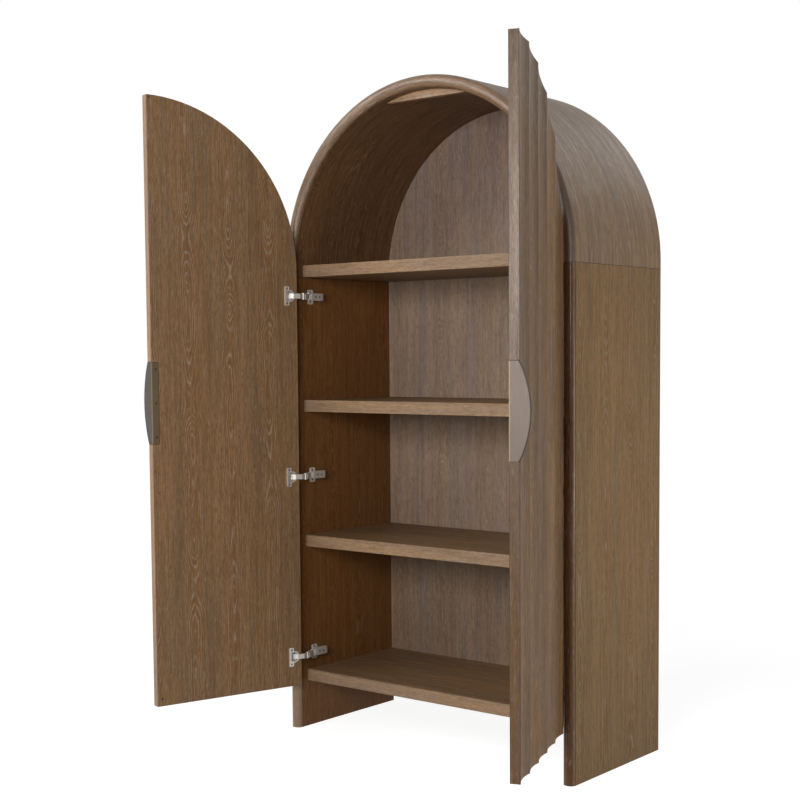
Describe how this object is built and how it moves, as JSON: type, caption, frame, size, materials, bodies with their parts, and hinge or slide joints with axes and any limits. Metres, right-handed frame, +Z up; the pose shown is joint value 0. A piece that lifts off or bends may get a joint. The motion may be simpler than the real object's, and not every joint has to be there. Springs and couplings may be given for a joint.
{
  "type": "arched cabinet",
  "caption": "Tall free-standing oak cabinet with a half-round top, shelves, and inset double doors with wide vertical flutes, concealed hinges and half-moon edge pulls.",
  "frame": {"origin": "floor level, middle of the carcass footprint, between the two side panels", "axes": "+Z up, -Y out of the front, +X to the right for someone facing the front"},
  "size_m": [1.441, 0.9951, 2.081],
  "materials": {
    "oak_carcass": "satin",
    "oak_lipping": "satin",
    "oak_board": "satin",
    "oak_board_edge": "satin",
    "oak_back": "satin",
    "oak_door_inner": "wire-brushed satin",
    "oak_fluted": "wire-brushed satin",
    "oak_door_edge": "satin",
    "beech": "raw",
    "nickel": "nickel plated",
    "zinc_screw": "zinc plated",
    "gunmetal": "satin gunmetal",
    "magnet": "nickel plated"
  },
  "bodies": {
    "carcass": {"hinge_plates_left": "nickel", "hinge_arms_left": "nickel", "hinge_plate_screws_left": "nickel", "hinge_arm_pins_left": "nickel", "hinge_arm_screws_left": "nickel", "hinge_plates_right": "nickel", "hinge_arms_right": "nickel", "hinge_plate_screws_right": "nickel", "hinge_arm_pins_right": "nickel", "hinge_arm_screws_right": "nickel", "side_panel_left": "oak_carcass", "side_panel_right": "oak_carcass", "arch_shell": "oak_carcass", "side_lipping_left": "oak_lipping", "side_lipping_right": "oak_lipping", "arch_lipping": "oak_lipping", "back_panel": "oak_back", "bottom_board": "oak_board", "lower_shelf": "oak_board", "middle_shelf": "oak_board", "top_shelf": "oak_board", "shelf_lippings": "oak_board_edge", "door_stop": "oak_lipping", "catch_magnets": "magnet", "shelf_dowels": "beech", "arch_dowels": "beech", "back_panel_screws": "zinc_screw"},
    "door_left": {"door_core_left": "oak_door_inner", "door_staves_left": "oak_fluted", "door_edge_left": "oak_door_edge", "door_pull_left": "gunmetal", "pull_screws_left": "gunmetal", "strike_plates_left": "magnet", "hinge_cups_left": "nickel", "hinge_cup_pins_left": "nickel", "hinge_cup_screws_left": "nickel"},
    "door_right": {"door_core_right": "oak_door_inner", "door_staves_right": "oak_fluted", "door_edge_right": "oak_door_edge", "door_pull_right": "gunmetal", "pull_screws_right": "gunmetal", "strike_plates_right": "magnet", "hinge_cups_right": "nickel", "hinge_cup_pins_right": "nickel", "hinge_cup_screws_right": "nickel"},
    "link_set_left": {"hinge_links_left": "nickel", "hinge_link_pins_left": "nickel"},
    "link_set_right": {"hinge_links_right": "nickel", "hinge_link_pins_right": "nickel"},
    "strap_set_left": {"hinge_straps_left": "nickel"},
    "strap_set_right": {"hinge_straps_right": "nickel"}
  },
  "joints": [
    {"name": "door_left_swing", "type": "hinge", "parent": "carcass", "child": "door_left", "pos_m": [-0.5275, -0.2345, 0.844], "axis": [0, 0, 1], "range_deg": [-5.5, 106.5]},
    {"name": "link_left_turn", "type": "hinge", "parent": "carcass", "child": "link_set_left", "pos_m": [-0.508, -0.1895, 0.844], "axis": [0, 0, 1], "range_deg": [-5.5, 106.5]},
    {"name": "strap_left_turn", "type": "hinge", "parent": "door_left", "child": "strap_set_left", "pos_m": [-0.51294, -0.27479, 0.844], "axis": [0, 0, 1], "range_deg": [-106.5, 5.5]},
    {"name": "door_right_swing", "type": "hinge", "parent": "carcass", "child": "door_right", "pos_m": [0.5275, -0.2345, 0.844], "axis": [0, 0, -1], "range_deg": [-1, 111]},
    {"name": "link_right_turn", "type": "hinge", "parent": "carcass", "child": "link_set_right", "pos_m": [0.508, -0.1895, 0.844], "axis": [0, 0, -1], "range_deg": [-1, 111]},
    {"name": "strap_right_turn", "type": "hinge", "parent": "door_right", "child": "strap_set_right", "pos_m": [0.51615, -0.27581, 0.844], "axis": [0, 0, -1], "range_deg": [-111, 1]}
  ],
  "couplings": [
    {"joint": "link_left_turn", "follows": "door_left_swing", "ratio": 1},
    {"joint": "strap_left_turn", "follows": "door_left_swing", "ratio": -1},
    {"joint": "link_right_turn", "follows": "door_right_swing", "ratio": 1},
    {"joint": "strap_right_turn", "follows": "door_right_swing", "ratio": -1}
  ]
}
